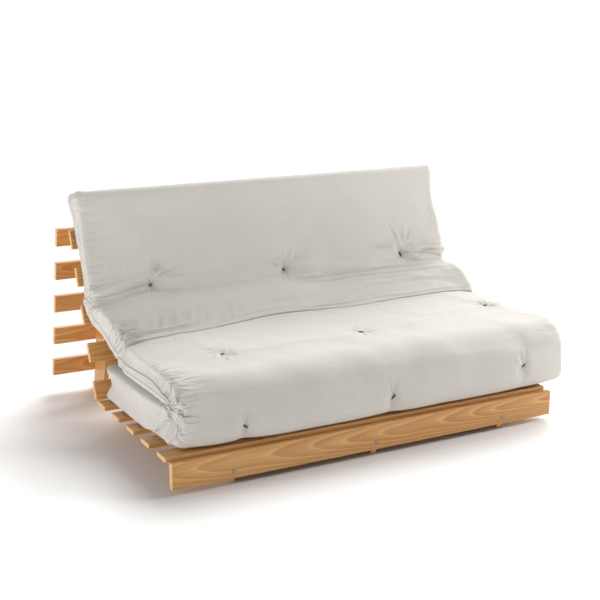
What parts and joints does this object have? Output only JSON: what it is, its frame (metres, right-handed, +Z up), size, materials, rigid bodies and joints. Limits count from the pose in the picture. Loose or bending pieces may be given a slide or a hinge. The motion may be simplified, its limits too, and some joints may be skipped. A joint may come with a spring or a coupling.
{
  "type": "futon sofa bed",
  "caption": "Low slatted pine sofa bed in three hinged sections that open flat, with a thick cotton futon folded double on the seat and up the back.",
  "frame": {"origin": "on the floor, at the middle of the middle seat joist's underside", "axes": "+X along the sofa to the sitter's left, +Y from the front board to the back, +Z up"},
  "size_m": [1.445, 1.1113, 0.8029],
  "materials": {
    "pine": "clear satin lacquer on planed knotty pine",
    "cotton": "unbleached natural cotton drill",
    "zinc_steel": "dull zinc plate",
    "screw_steel": "yellow zinc plate"
  },
  "bodies": {
    "seat": {"front_board": "pine", "front_board_bolts": "zinc_steel", "front_board_barrel_nuts": "zinc_steel", "seat_slat_1": "pine", "seat_slat_2": "pine", "seat_slat_3": "pine", "seat_slat_4": "pine", "seat_slat_5": "pine", "seat_joist_left": "pine", "seat_joist_middle": "pine", "seat_joist_right": "pine", "seat_slat_screws": "screw_steel", "lower_pivot_bolts": "zinc_steel", "lower_pivot_nuts": "zinc_steel", "lower_pivot_spacers": "zinc_steel", "lower_pivot_washers": "zinc_steel", "futon_front_fold": "cotton", "futon_lower_layer": "cotton", "futon_upper_layer": "cotton", "futon_lumbar_roll": "cotton"},
    "back": {"back_slat_1": "pine", "back_slat_2": "pine", "back_slat_3": "pine", "back_slat_4": "pine", "back_slat_5": "pine", "back_joist_left": "pine", "back_joist_middle": "pine", "back_joist_right": "pine", "back_slat_screws": "screw_steel", "upper_pivot_bolts": "zinc_steel", "upper_pivot_nuts": "zinc_steel", "upper_pivot_spacers": "zinc_steel", "upper_pivot_washers": "zinc_steel", "futon_back_layer": "cotton"},
    "prop": {"prop_slat_1": "pine", "prop_slat_2": "pine", "prop_slat_3": "pine", "prop_slat_4": "pine", "prop_slat_5": "pine", "prop_joist_left": "pine", "prop_joist_middle": "pine", "prop_joist_right": "pine", "prop_slat_screws": "screw_steel"}
  },
  "joints": [
    {"name": "back_hinge", "type": "hinge", "parent": "seat", "child": "back", "pos_m": [0, 0.3195, 0.05], "axis": [-1, 0, 0], "range_deg": [0, 69]},
    {"name": "prop_hinge", "type": "hinge", "parent": "back", "child": "prop", "pos_m": [0, 0.56068, 0.6783], "axis": [1, 0, 0], "range_deg": [0, 146.4]}
  ],
  "couplings": [
    {"joint": "prop_hinge", "follows": "back_hinge", "ratio": 2.1217}
  ]
}
